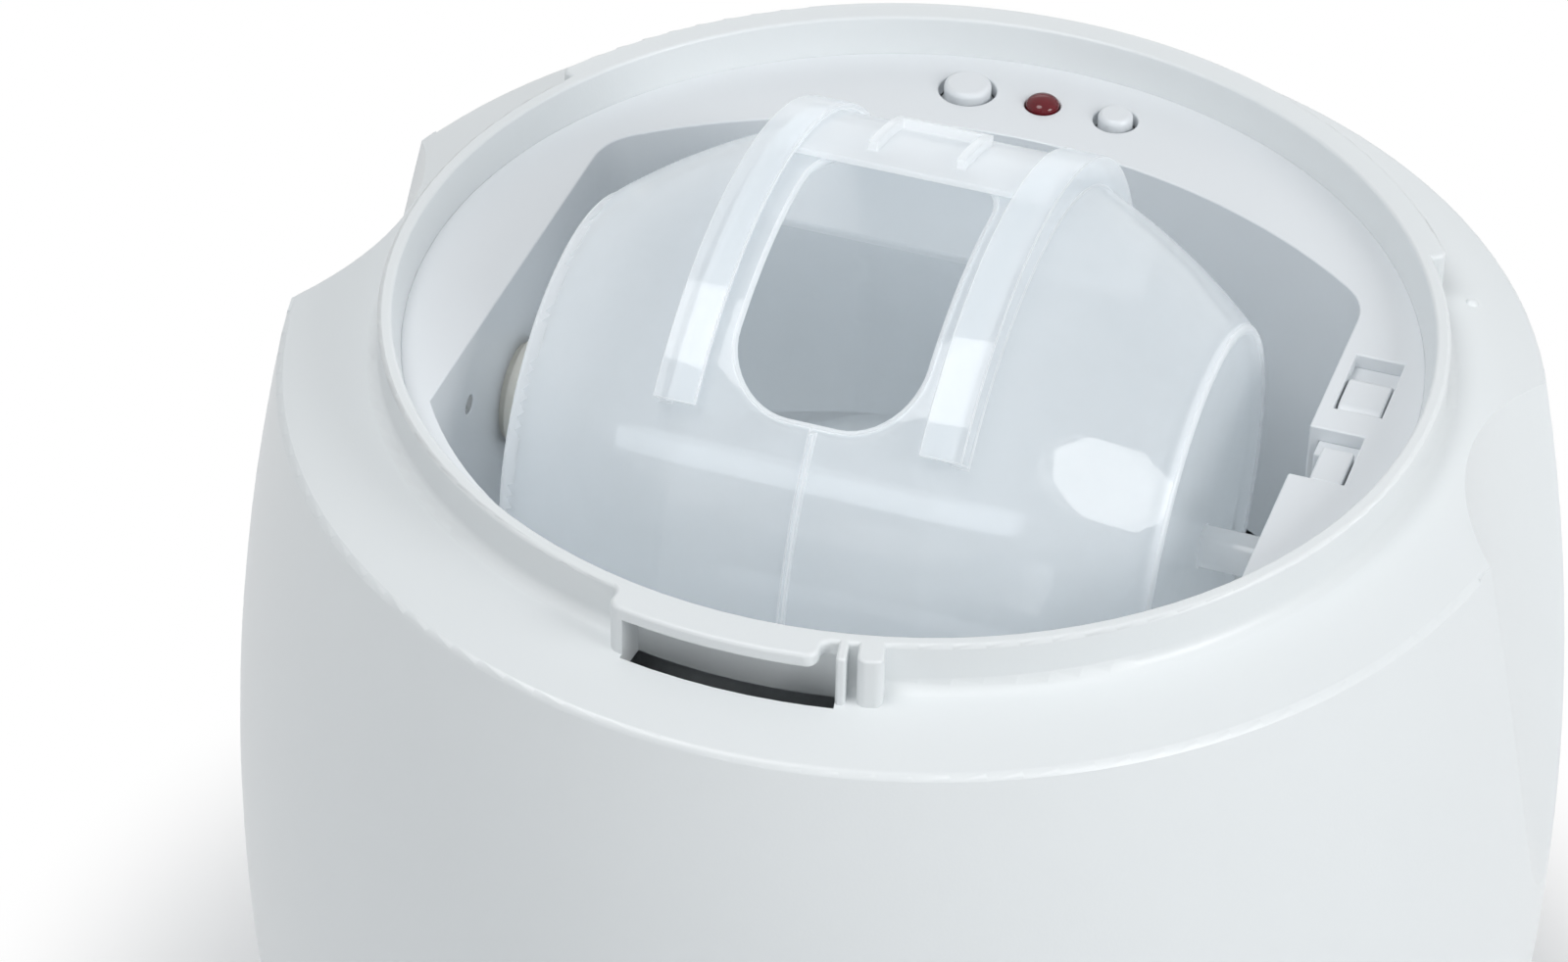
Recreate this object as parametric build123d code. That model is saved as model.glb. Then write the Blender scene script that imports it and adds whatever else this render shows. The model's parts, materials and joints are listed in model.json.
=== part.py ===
from build123d import *
import os
from math import atan, cos, hypot, pi, radians, sin, sqrt, tan

# Battery driven treat dispenser, lid off. Millimetres, +Z up, front at -Y.
# The origin is on the table under the centre of the barrel.

# Outer casing: barrel, shoulder and collar
rim_height = 172.0
barrel_bulge = 8.3
barrel_rise = 4.35
shoulder_width = 14.1
shoulder_drop = 9.7
collar_wall = 2.0
collar_foot_drop = 7.0
collar_draft = 1.1
casing_wall = 2.4
cove_radius = 2.0
crease_radius = 1.2
rim_round = 0.6
foot_height = 3.0
rear_collar_extra = 2.2
rear_collar_start = 29.0
rear_collar_end = 151.0
pip_radius = 1.1
pip_places = ((9.3, 143.5), (6.2, 28.5))

# Catch for the lid at the front of the collar, in degrees round the barrel axis
lip_reach = 5.5
lip_thickness = 2.2
lip_start = -102.5
lip_end = -80.8
catch_post = 1.9
slot_end = -79.1
slot_reach = 6.1
slot_depth = 8.0
groove_width = 1.0
rib_width = 2.6
lip_tail = 3.0
lip_round = 1.8
lip_cove = 1.5
lip_under_round = 0.5
thin_post_round = 0.5
rib_round = 1.2
rib_top_round = 0.4
blend_in = 0.05

# Grip scoops in the sides and hinge recess at the back
scoop_radius = 39.0
scoop_gap = 6.0
scoop_y = 6.0
scoop_tilt = 14.0
recess_half_width = 18.0
recess_gap = 2.3
recess_depth = 22.0
recess_round = 4.0

# Control deck and well
deck_drop = 5.7
deck_thickness = 2.4
deck_clearance = 0.2
deck_behind_well = 20.4
deck_beside_well = 15.0
well_front_ledge = 2.7
well_back_room = 7.4
well_side_room = 11.0
well_back_radius = 85.0
well_corner = 9.0
well_wall = 1.5
ear_width = 11.0
ear_thickness = 2.5
ear_drop = 14.3
ear_offset = 3.0
boss_radius = 4.0

# Screws and small fits
screw_radius = 1.25
screw_head_radius = 2.6
screw_head = 1.6
screw_play = 0.1
fixed_play = 0.15
moving_play = 0.3
shaft_play = 0.1

# Drum, its rails and its door; angles run from the front, up over the top
drum_x = -1.2
drum_y = -6.0
drum_drop = 26.0
drum_radius = 47.4
drum_flat_half = 17.0
drum_taper = 16.4
drum_bulge = 1.8
drum_wall = 1.6
seam_height = 0.6
seam_half_width = 0.8
mouth_half_width = 13.5
mouth_start = 44.0
mouth_end = 104.0
mouth_corner = 10.0
rail_inner = 15.5
rail_outer = 21.5
rail_web = 1.8
rail_flange = 0.9
rail_start = 43.0
rail_end = 160.0
door_thickness = 1.0
door_start = 96.0
door_end = 155.0
grip_start = 100.0
grip_end = 116.0
grip_half_width = 7.0
grip_height = 1.5
grip_wall = 1.4
fin_angles = (35.0, 145.0, 255.0)
fin_half_length = 28.0
fin_depth = 12.8
fin_thickness = 3.0

# Right axle, its bush and its spring arm
axle_radius = 3.0
axle_overhang = 3.0
axle_bush_radius = 5.4
axle_bush_flange = 6.6
axle_bush_inset = 0.8
bush_flange_thickness = 1.4
notch_reach = 6.2
arm_head_gap = 1.3
arm_head_play = 0.4
arm_head_front = 5.3
arm_head_width = 7.5
arm_head_top = 0.3
arm_head_height = 8.0
arm_leg_thickness = 2.3
arm_leg_below = 5.0
arm_pin_radius = 1.0
arm_pin_drop = 5.8
arm_lug = 1.7

# Lid switch behind the notch
window_wall = 0.5
window_width = 6.8
window_front = 4.6
window_back = 17.5
plunger_length = 9.0
plunger_top = 0.3
plunger_height = 17.0
plunger_round = 2.2
switch_height = 8.0
switch_stem_radius = 1.2
switch_stem_gap = 3.0
switch_stem_depth = 0.8
switch_bore_depth = 2.5
guide_wall = 1.2

# Buttons, lamp and their board
control_gap = 9.4
power_x = -11.6
power_radius = 4.0
pairing_x = 11.2
pairing_radius = 3.0
button_gap = 0.3
button_rise = 1.3
button_round = 0.9
button_flange = 1.2
button_flange_thickness = 2.1
button_travel_room = 1.5
tact_size = 6.0
tact_height = 3.5
tact_stem_radius = 1.7
tact_stem_depth = 1.0
tact_bore_depth = 2.2
board_thickness = 1.6
button_board_half = 24.0
button_board_depth = 13.0
board_post_radius = 2.0
board_post_x = 20.5
lamp_radius = 2.5
lamp_base = 0.5
lamp_base_thickness = 1.0
lamp_height = 4.6
lamp_leg_radius = 0.3
lamp_leg_pitch = 1.27

# Gear train on the left of the well
gear_module = 0.7
large_teeth = 42
small_teeth = 14
pressure_angle = 25.0
tooth_addendum = 0.9
tooth_dedendum = 1.2
backlash = 0.12
gear_width = 3.0
flank_steps = 3
gear_gap = 0.4
gear_hub_radius = 3.2
pin_radius = 1.5
plate_thickness = 2.0
plate_margin = 2.0
gearbox_post_radius = 2.6
gearbox_post_edge = 1.0
shaft_radius = 3.0
drive_bush_radius = 5.0
drive_bush_flange = 7.0
drive_bush_rim = 0.8
dog_radius = 8.0
dog_thickness = 2.4
dog_blade = 4.0
dog_blade_width = 13.0
dog_end_gap = 1.7
hub_radius = 9.5
hub_gap = 0.7

# Motor
motor_radius = 10.0
motor_length = 18.0
motor_flat = 7.7
motor_shaft_radius = 1.0
motor_shaft_depth = 6.0
motor_screw_radius = 0.9
motor_screw_head = 1.7
motor_screw_spread = 7.0
motor_screw_length = 4.0

# Funnel, chute and bowl
funnel_room = 7.8
funnel_height = 24.0
funnel_half_width = 26.0
funnel_front = -38.0
funnel_back = 24.0
funnel_wall = 3.0
funnel_skirt = 10.0
chute_wall = 2.0
chute_step = 7.0
sill_height = 22.0
outlet_height = 39.0
outlet_corner = 12.0
chute_leg = 6.0
chute_leg_y = -30.0
bowl_radius = 52.0
bowl_y = -97.0
bowl_height = 20.0
bowl_wall = 2.5
bowl_lift = 0.5
bowl_round = 4.0
bowl_gap = 0.5
hook_x = 16.0
hook_width = 7.0
hook_height = 3.0
hook_z = 10.5
hook_length = 8.0

# Base, feet and batteries
base_thickness = 3.0
base_boss_inset = 5.55
base_boss_top = 30.0
base_screw_length = 14.0
foot_radius = 7.0
foot_gap = 2.4
foot_peg_radius = 2.5
cell_radius = 7.25
cell_body = 49.0
cell_nub = 1.5
cell_nub_radius = 2.75
cell_pitch = 15.2
cell_first_y = 4.0
cell_count = 4
cell_play = 0.4
cell_room = 2.25
contact_thickness = 0.5
contact_half = 5.5
spring_radius = 4.5
spring_tip_radius = 2.5
tray_wall = 1.8
door_plate = 2.0
door_ledge = 2.0
door_tab_radius = 5.0
door_tab_reach = 6.0
door_boss_height = 10.0

# Main board and speaker on the base
board_inner = 36.0
board_edge = 13.4
board_front = -36.0
board_back = 30.0
board_lift = 6.0
board_inset = 4.0
board_screw_length = 4.0
chip_sizes = ((0.0, -2.0, 9.0, 9.0, 1.4), (-4.0, 16.0, 14.0, 12.0, 2.2), (6.0, -16.0, 5.0, 6.0, 1.5),
              (-8.0, -24.0, 8.0, 10.0, 6.0))
capacitor_ys = (-8.0, 2.0)
capacitor_x = 11.0
capacitor_radius = 3.1
capacitor_height = 7.0
speaker_x = -50.0
speaker_y = -28.0
speaker_radius = 14.0
speaker_height = 7.0
speaker_magnet = 8.0
speaker_magnet_height = 4.0
speaker_ring = 1.5
speaker_ring_height = 3.0
grille_hole = 1.1
grille_ring = 7.0
grille_count = 8

# Radii and widths that follow, from the drum outwards
door_inner = drum_radius + moving_play
door_outer = door_inner + door_thickness
flange_inner = door_outer + moving_play
flange_outer = flange_inner + rail_flange
drum_sweep = door_outer + grip_height
drum_end_radius = drum_radius - drum_taper
fin_inner_radius = drum_radius - drum_wall - fin_depth
well_back = drum_y + drum_sweep + well_back_room
collar_radius = well_back + deck_behind_well
collar_outer = collar_radius + collar_wall
collar_low_radius = collar_radius - collar_draft
shoulder_radius = collar_outer + shoulder_width
barrel_radius = shoulder_radius + barrel_bulge
well_front_radius = collar_low_radius - deck_clearance - well_front_ledge
well_half_width = collar_radius - deck_beside_well
well_outer = well_half_width + well_wall
drum_half_length = well_half_width - well_side_room
axle_reach = well_outer + axle_overhang
notch_outer = well_outer + notch_reach
arm_head_inner = well_outer + arm_head_gap
arm_head_outer = notch_outer - arm_head_play
window_inner = well_outer + window_wall
window_outer = window_inner + window_width
control_y = well_back + control_gap
ear_radius = collar_outer + ear_offset
scoop_bite = collar_outer + scoop_gap
recess_inner = collar_outer + rear_collar_extra + recess_gap
quarters = (45.0, 135.0, 225.0, 315.0)

# Heights that follow, from the rim down
shoulder_z = rim_height - shoulder_drop
collar_foot_z = rim_height - collar_foot_drop
deck_z = rim_height - deck_drop
deck_under = deck_z - deck_thickness
ear_height = deck_z - ear_drop
drum_z = rim_height - drum_drop
funnel_bottom = drum_z - drum_sweep - funnel_room
well_bottom = funnel_bottom + funnel_height
chute_floor_back = funnel_bottom - chute_step
casing_bottom = foot_height
base_top = foot_height + base_thickness
barrel_middle = (casing_bottom + shoulder_z) / 2 + barrel_rise
bow_radius = ((shoulder_z - barrel_middle) ** 2 + barrel_bulge**2) / (2 * barrel_bulge)


def polar(radius, angle):
    return radius * cos(radians(angle)), radius * sin(radians(angle))


def block(x0, x1, y0, y1, z0, z1):
    middle = Pos((x0 + x1) / 2, (y0 + y1) / 2, (z0 + z1) / 2)
    return middle * Box(abs(x1 - x0), abs(y1 - y0), abs(z1 - z0))


def rod_x(radius, x0, x1, y, z):
    return Pos((x0 + x1) / 2, y, z) * Rot(0, 90, 0) * Cylinder(radius, abs(x1 - x0))


def rod_y(radius, y0, y1, x, z):
    return Pos(x, (y0 + y1) / 2, z) * Rot(90, 0, 0) * Cylinder(radius, abs(y1 - y0))


def rod_z(radius, x, y, z0, z1):
    return Pos(x, y, (z0 + z1) / 2) * Cylinder(radius, abs(z1 - z0))


def sector_face(r0, r1, a0, a1):
    # Part of a flat ring about Z between two angles
    middle = (a0 + a1) / 2
    return make_face([
        ThreePointArc(polar(r1, a0), polar(r1, middle), polar(r1, a1)),
        Line(polar(r1, a1), polar(r0, a1)),
        ThreePointArc(polar(r0, a1), polar(r0, middle), polar(r0, a0)),
        Line(polar(r0, a0), polar(r1, a0)),
    ])


def sector(r0, r1, a0, a1, z0, z1):
    return Pos(0, 0, z0) * extrude(sector_face(r0, r1, a0, a1), z1 - z0)


def beyond(edges, radius):
    # The edges whose middle lies further from Z than the given radius
    return edges.filter_by(lambda e: hypot((e @ 0.5).X, (e @ 0.5).Y) > radius)


def prism_x(points, x0, x1):
    # Side profile of (y, z) points, run from x0 to x1
    side = Plane(origin=(x0, 0, 0), x_dir=(0, 1, 0), z_dir=(1, 0, 0))
    return side * extrude(make_face(Polyline(*points, close=True)), x1 - x0)


def spun(points):
    # Solid of revolution about Z from an outline of (radius, height) edges
    return revolve(Plane.XZ * make_face(points), Axis.Z)


def barrel_at(z, inset=0.0):
    return barrel_radius - bow_radius + sqrt((bow_radius - inset) ** 2 - (z - barrel_middle) ** 2)


def barrel_solid(inset, top):
    # The barrel's bowed side moved inwards by inset, filled to the axis
    low, high = (barrel_at(casing_bottom, inset), casing_bottom), (barrel_at(top, inset), top)
    return spun([
        ThreePointArc(low, (barrel_at(barrel_middle, inset), barrel_middle), high),
        Line(high, (0, top)),
        Line((0, top), (0, casing_bottom)),
        Line((0, casing_bottom), low),
    ])


base_plate_radius = barrel_at(casing_bottom, casing_wall) - fixed_play
base_boss_radius = barrel_at(casing_bottom, casing_wall) - base_boss_inset
foot_place = base_boss_radius - screw_head_radius - foot_gap - foot_radius
board_outer = base_plate_radius - board_edge


def shoulder_at(radius):
    fall = (collar_foot_z - shoulder_z) / (shoulder_radius - collar_outer)
    return collar_foot_z - fall * (radius - collar_outer)


def screw_z(x, y, seat, length, up=1):
    # Pan head screw whose head bears on the plane z = seat and whose shank runs up or down
    head = rod_z(screw_head_radius, x, y, seat - up * screw_head, seat)
    return head + rod_z(screw_radius, x, y, seat, seat + up * length)


def hole_z(x, y, z0, z1, play=screw_play):
    return rod_z(screw_radius + play, x, y, z0, z1)


# Outer casing
def casing_shell():
    bottom = (barrel_at(casing_bottom), casing_bottom)
    crease = (shoulder_radius, shoulder_z)
    foot = (collar_outer, collar_foot_z)
    rim_out, rim_in = (collar_outer, rim_height), (collar_radius, rim_height)
    deck_edge = (collar_low_radius, deck_z)
    under_in = (collar_low_radius, collar_foot_z - casing_wall)
    under_z = shoulder_z - casing_wall
    under_out = (barrel_at(under_z, casing_wall), under_z)
    inside = (barrel_at(casing_bottom, casing_wall), casing_bottom)
    middle = barrel_middle
    section = make_face([
        ThreePointArc(bottom, (barrel_at(middle), middle), crease),
        Line(crease, foot),
        Line(foot, rim_out),
        Line(rim_out, rim_in),
        Line(rim_in, deck_edge),
        Line(deck_edge, under_in),
        Line(under_in, under_out),
        ThreePointArc(under_out, (barrel_at(middle, casing_wall), middle), inside),
        Line(inside, bottom),
    ])
    rounds = ((crease, crease_radius), (foot, cove_radius), (rim_out, rim_round), (rim_in, rim_round))
    for corner, radius in rounds:
        section = fillet(section.vertices().sort_by_distance((*corner, 0))[0], radius)
    return revolve(Plane.XZ * section, Axis.Z)


def scoop(side, radius):
    place = Pos(side * (scoop_bite + scoop_radius), scoop_y, shoulder_z)
    return place * Rot(0, -side * scoop_tilt, 0) * Cylinder(radius, 3 * rim_height)


def hinge_recess(grow):
    half, depth = recess_half_width + grow, barrel_radius
    outline = Pos(0, recess_inner - grow + depth / 2) * Rectangle(2 * half, depth)
    outline = fillet(outline.vertices().group_by(Axis.Y)[0], recess_round)
    floor = shoulder_z - recess_depth - grow
    return Pos(0, 0, floor) * extrude(outline, rim_height - floor)


collar_middle = collar_radius + collar_wall / 2
catch_root = collar_foot_z - casing_wall / 2
catch_reach = collar_radius + lip_reach
catch_post_end = lip_start + catch_post


def catch_outline():
    # Plan of the lip, swept into the collar's wall by a cove at both ends
    wall = collar_outer - blend_in
    outline = sector_face(collar_middle, wall, lip_start - lip_tail, slot_end)
    outline += sector_face(collar_middle, catch_reach, lip_start, lip_end)
    for angle in (lip_start, lip_end):
        for radius, size in ((catch_reach, lip_round), (wall, lip_cove)):
            corner = (*polar(radius, angle), 0)
            outline = fillet(outline.vertices().sort_by_distance(corner)[0], size)
    return outline


def catch_lip():
    outline = catch_outline()
    under = rim_height - lip_thickness
    lip = Pos(0, 0, under) * extrude(outline, lip_thickness)
    for level, size in ((rim_height, rim_round), (under, lip_under_round)):
        edges = lip.edges().filter_by_position(Axis.Z, level, level)
        lip = fillet(beyond(edges, collar_middle + collar_wall / 4), size)
    post = outline & sector_face(collar_middle, catch_reach, lip_start - lip_tail, catch_post_end)
    return lip + Pos(0, 0, catch_root) * extrude(post, under + lip_thickness / 2 - catch_root)


def collar_rib(reach, start, end, side_round, top_round):
    # Upright rib on the outside of the collar with its outer corners and top rounded
    rib = sector(collar_middle, reach, start, end, catch_root, rim_height)
    rib = fillet(beyond(rib.edges().filter_by(Axis.Z), collar_outer), side_round)
    top = rib.edges().filter_by_position(Axis.Z, rim_height, rim_height)
    return fillet(beyond(top, collar_outer), top_round)


def outer_casing():
    shell = casing_shell()
    solid = barrel_solid(0, shoulder_z) - rod_z(collar_outer, 0, 0, 0, rim_height)
    for side in (1, -1):
        shell += scoop(side, scoop_radius + casing_wall) & solid
    shell += hinge_recess(casing_wall) & solid
    for side in (1, -1):
        shell -= scoop(side, scoop_radius)
    shell -= hinge_recess(0)
    for angle in quarters:
        x, y = polar(base_boss_radius, angle)
        web = Rot(0, 0, angle) * block(base_boss_radius, barrel_radius, -casing_wall / 2, casing_wall / 2,
                                       base_top, base_boss_top)
        shell += (rod_z(boss_radius, x, y, base_top, base_boss_top) + web) & barrel_solid(0, shoulder_z)
        shell -= hole_z(x, y, casing_bottom, base_top + base_screw_length)
        x, y = polar(ear_radius, angle)
        ear_top = ear_height + ear_thickness
        shell += rod_z(boss_radius, x, y, ear_top, shoulder_at(ear_radius) - casing_wall / 2)
        shell -= hole_z(x, y, ear_top, shoulder_at(ear_radius) - casing_wall)
    rear = collar_outer + rear_collar_extra
    shell += collar_rib(rear, rear_collar_start, rear_collar_end, rib_round, rim_round)
    shell += catch_lip()
    post = slot_end + groove_width
    rib = post + groove_width
    shell += collar_rib(catch_reach, slot_end, post, thin_post_round, rib_top_round)
    shell += collar_rib(catch_reach, rib, rib + rib_width, rib_round, rib_top_round)
    slot_bottom = collar_foot_z - slot_depth
    shell -= sector(collar_outer - rim_round, collar_radius + slot_reach, catch_post_end, slot_end,
                    slot_bottom, rim_height - lip_thickness)
    for outward, angle in pip_places:
        radius = collar_outer + outward
        x, y = polar(radius, angle)
        shell += Pos(x, y, shoulder_at(radius) - pip_radius / 2) * Sphere(pip_radius)
    outlet = RectangleRounded(2 * funnel_half_width, outlet_height, outlet_corner)
    window = Pos(0, -barrel_radius, sill_height + outlet_height / 2) * Rot(90, 0, 0)
    shell -= window * extrude(outlet, bowl_radius / 2, both=True)
    for side in (1, -1):
        half_w, half_h = hook_width / 2 + moving_play, hook_height / 2 + moving_play
        shell -= block(side * hook_x - half_w, side * hook_x + half_w, -barrel_radius,
                       -base_boss_radius, hook_z - half_h, hook_z + half_h)
    return shell


# Control deck and well
def well_outline():
    outline = Rectangle(2 * well_half_width, 4 * well_half_width) & Circle(well_front_radius)
    outline &= Pos(0, well_back - well_back_radius) * Circle(well_back_radius)
    return fillet(outline.vertices().filter_by(lambda v: v.Y > 0), well_corner)


well = well_outline()
well_outside = offset(well, well_wall)
notch_half = axle_bush_radius + fixed_play
plunger_bottom = deck_z - plunger_top - plunger_height
switch_top = plunger_bottom - switch_stem_gap
guide_bottom = switch_top - switch_height - guide_wall
plunger_front = window_front + moving_play
plunger_back = plunger_front + plunger_length
arm_pin_x = (arm_head_inner + arm_head_outer) / 2
arm_pin_z = deck_z - arm_pin_drop
arm_front = drum_y - arm_head_front
arm_back = arm_front + arm_head_width
board_top = deck_under - button_flange_thickness - button_travel_room - tact_height
gear_pitch = gear_module * (large_teeth + small_teeth) / 2
large_radius = gear_module * (large_teeth / 2 + tooth_addendum)
gear_axes = [drum_z - gear_pitch * step for step in range(4)]
plate_outer = -well_outer - plate_thickness
gear_planes = [plate_outer - gear_gap - step * (gear_width + gear_gap) for step in range(3)]
cover_inner = gear_planes[2] - gear_width - gear_gap
cover_outer = cover_inner - plate_thickness
gearbox_half = large_radius + plate_margin + gearbox_post_radius + gearbox_post_edge
gearbox_low = gear_axes[3] - motor_radius - plate_margin
gearbox_high = drum_z + large_radius - plate_margin
gearbox_corner = gearbox_post_radius + gearbox_post_edge
gearbox_posts = [
    (drum_y + side * (gearbox_half - gearbox_corner), z)
    for side in (1, -1)
    for z in (gearbox_low + gearbox_corner, gearbox_high - gearbox_corner)
]


def well_tub():
    tub = rod_z(collar_low_radius - deck_clearance, 0, 0, deck_under, deck_z)
    tub += Pos(0, 0, well_bottom) * extrude(well_outside, deck_z - well_bottom - deck_thickness / 2)
    for angle in quarters:
        ear = block(0, ear_radius + boss_radius, -ear_width / 2, ear_width / 2, ear_height,
                    ear_height + ear_thickness)
        tub += Rot(0, 0, angle) * ear
    guide_y = (window_front - guide_wall, plunger_back + moving_play + guide_wall)
    tub += block(well_half_width, window_outer + guide_wall, *guide_y, guide_bottom,
                 deck_under + guide_wall)
    for y in (arm_front - fixed_play - arm_lug, arm_back + fixed_play):
        tub += block(well_outer, arm_head_outer + guide_wall, y, y + arm_lug,
                     arm_pin_z - 2 * arm_pin_radius, deck_under + guide_wall)
    for x in (board_post_x, -board_post_x):
        tub += rod_z(board_post_radius, x, control_y, board_top, deck_under + guide_wall)
    tub -= Pos(0, 0, well_bottom - well_wall) * extrude(well, rim_height - well_bottom)
    switch_room = block(window_inner, window_outer, window_front, plunger_back + moving_play,
                        guide_bottom + guide_wall, rim_height)
    window = block(window_inner, window_outer, window_front, window_back, deck_under, rim_height)
    tub -= switch_room + window
    notch_y = (drum_y - notch_half, drum_y + notch_half)
    tub -= block(well_half_width - well_wall, notch_outer, *notch_y, deck_under, rim_height)
    tub -= block(well_half_width - well_wall, well_outer, *notch_y, drum_z, rim_height)
    tub -= rod_x(notch_half, well_half_width - well_wall, well_outer, drum_y, drum_z)
    tub -= rod_y(arm_pin_radius, arm_front - 2 * arm_lug, arm_back + 2 * arm_lug, arm_pin_x, arm_pin_z)
    tub -= rod_x(drive_bush_radius, -well_outer, -well_half_width, drum_y, drum_z)
    for y, z in gearbox_posts:
        tub -= rod_x(screw_radius + screw_play, -well_outer, -well_half_width, y, z)
    for x, radius in ((power_x, power_radius), (pairing_x, pairing_radius)):
        tub -= rod_z(radius + button_gap, x, control_y, deck_under, rim_height)
    tub -= rod_z(lamp_radius + fixed_play, 0, control_y, deck_under, rim_height)
    for angle in quarters:
        x, y = polar(ear_radius, angle)
        tub -= hole_z(x, y, ear_height, ear_height + ear_thickness)
    for x in (board_post_x, -board_post_x):
        tub -= hole_z(x, control_y, board_top, deck_under)
    return tub


def well_screws():
    length = shoulder_at(ear_radius) - casing_wall - ear_height
    return [screw_z(*polar(ear_radius, angle), ear_height, length) for angle in quarters]


# Drum in its own frame, with its axis on X
drum_plane = Plane(origin=(0, 0, 0), x_dir=(0, -1, 0), z_dir=(-1, 0, 0))
drum_place = Pos(drum_x, drum_y, drum_z)
bush_face = -well_half_width + drive_bush_rim
dog_back = bush_face + moving_play
dog_face = dog_back + dog_thickness
hub_length = drum_x - drum_half_length - dog_face - hub_gap
dog_blade_length = hub_length + hub_gap - dog_end_gap


def band(r0, r1, a0, a1, x0, x1):
    return drum_plane * sector(r0, r1, a0, a1, -x1, -x0)


def drum_body(inset):
    flat, length = drum_flat_half, drum_half_length - inset
    radius, end = drum_radius - inset, drum_end_radius - inset
    middle = ((flat + length) / 2, (radius + end) / 2 + drum_bulge)
    half = make_face([
        Line((0, 0), (0, radius)),
        Line((0, radius), (flat, radius)),
        ThreePointArc((flat, radius), middle, (length, end)),
        Line((length, end), (length, 0)),
        Line((length, 0), (0, 0)),
    ])
    right = revolve(half, Axis.X)
    return right + mirror(right, Plane.YZ)


def drum_mouth():
    centre, half = (mouth_start + mouth_end) / 2, (mouth_end - mouth_start) / 2
    outward = (0, -cos(radians(centre)), sin(radians(centre)))
    length = 2 * drum_radius * sin(radians(half))
    opening = RectangleRounded(2 * mouth_half_width, length, mouth_corner)
    return Plane(origin=(0, 0, 0), x_dir=(1, 0, 0), z_dir=outward) * extrude(opening, 2 * drum_radius)


def drum_half(side):
    hull = drum_body(0)
    rail = band(flange_inner, flange_outer, rail_start, rail_end, rail_inner, rail_outer)
    rail += band(drum_radius - 2 * drum_wall, flange_outer, rail_start, rail_end,
                 rail_outer - rail_web, rail_outer)
    hull += rail if side > 0 else mirror(rail, Plane.YZ)
    if side > 0:
        hull += band(drum_radius - drum_wall / 2, drum_radius + seam_height, rail_end - 360, rail_start,
                     -seam_half_width, seam_half_width)
        hull += rod_x(axle_radius, drum_half_length - drum_wall, axle_reach - drum_x, 0, 0)
    keep = block(0, 2 * axle_reach, -2 * drum_radius, 2 * drum_radius, -2 * drum_radius, 2 * drum_radius)
    hull -= drum_body(drum_wall) + drum_mouth()
    return drum_place * (hull & (keep if side > 0 else mirror(keep, Plane.YZ)))


def drum_hub():
    # Welded to the left end; its slot takes the blade of the drive shaft
    hub_end = -drum_half_length - hub_length
    hub = rod_x(hub_radius, hub_end, -drum_half_length, 0, 0)
    half_thick, half_wide = dog_blade / 2 + fixed_play, dog_blade_width / 2 + fixed_play
    slot = block(hub_end, -drum_half_length, -half_thick, half_thick, -half_wide, half_wide)
    return drum_place * (hub - slot)


def drum_door():
    half = rail_outer - rail_web - moving_play
    door = band(door_inner, door_outer, door_start, door_end, -half, half)
    wall = grip_wall / drum_radius * 180 / pi
    grip = band(door_outer - door_thickness / 2, door_outer + grip_height, grip_start, grip_end,
                -grip_half_width, grip_half_width)
    inner_half = grip_half_width - grip_wall
    grip -= band(door_inner, flange_outer + grip_height, grip_start - wall, grip_end - wall,
                 -inner_half, inner_half)
    return drum_place * (door + grip)


def agitator_fins():
    core = rod_x(fin_inner_radius, -drum_half_length, drum_half_length, 0, 0)
    room = drum_body(drum_wall + shaft_play) - core
    fins = []
    for angle in fin_angles:
        fin = block(-fin_half_length, fin_half_length, -2 * drum_radius, 0,
                    -fin_thickness / 2, fin_thickness / 2)
        fins.append(drum_place * (Rot(-angle, 0, 0) * fin & room))
    return fins


# Right axle bush, spring arm and lid switch
def axle_bush():
    inner = well_half_width - axle_bush_inset
    seat = well_outer + shaft_play
    bush = rod_x(axle_bush_radius, inner, seat, drum_y, drum_z)
    bush += rod_x(axle_bush_flange, seat, seat + bush_flange_thickness, drum_y, drum_z)
    return bush - rod_x(axle_radius + shaft_play, inner, seat + bush_flange_thickness, drum_y, drum_z)


def axle_spring_arm():
    top = deck_z - arm_head_top
    arm = block(arm_head_inner, arm_head_outer, arm_front, arm_back, top - arm_head_height, top)
    leg = axle_reach + moving_play
    arm += block(leg, leg + arm_leg_thickness, arm_front + arm_lug, arm_back, drum_z - arm_leg_below,
                 top - arm_head_height / 2)
    return arm - rod_y(arm_pin_radius + shaft_play, arm_front, arm_back, arm_pin_x, arm_pin_z)


def arm_pin():
    lugs = fixed_play + arm_lug
    return rod_y(arm_pin_radius, arm_front - lugs, arm_back + lugs, arm_pin_x, arm_pin_z)


def lid_switch_plunger():
    body = block(window_inner + moving_play, window_outer - moving_play, plunger_front, plunger_back,
                 plunger_bottom, deck_z - plunger_top)
    front_edge = body.edges().filter_by(Axis.X).group_by(Axis.Z)[-1].sort_by(Axis.Y)[0]
    return fillet(front_edge, plunger_round)


switch_x = (window_inner + window_outer) / 2
switch_y = (plunger_front + plunger_back) / 2


def lid_switch():
    body = block(window_inner + fixed_play, window_outer - fixed_play, plunger_front, plunger_back,
                 switch_top - switch_height, switch_top)
    bore_bottom = switch_top - switch_bore_depth
    return body - rod_z(switch_stem_radius + shaft_play, switch_x, switch_y, bore_bottom, switch_top)


def lid_switch_stem():
    return rod_z(switch_stem_radius, switch_x, switch_y, switch_top - switch_stem_depth, plunger_bottom)


# Buttons and lamp
button_bottom = deck_under - shaft_play - button_flange_thickness
tact_top = board_top + tact_height


def button(x, radius):
    cap = rod_z(radius, x, control_y, button_bottom, deck_z + button_rise)
    cap = fillet(cap.edges().group_by(Axis.Z)[-1], button_round)
    return cap + rod_z(radius + button_flange, x, control_y, button_bottom, deck_under - shaft_play)


def switch_stem(x):
    return rod_z(tact_stem_radius, x, control_y, tact_top - tact_stem_depth, button_bottom)


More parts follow.
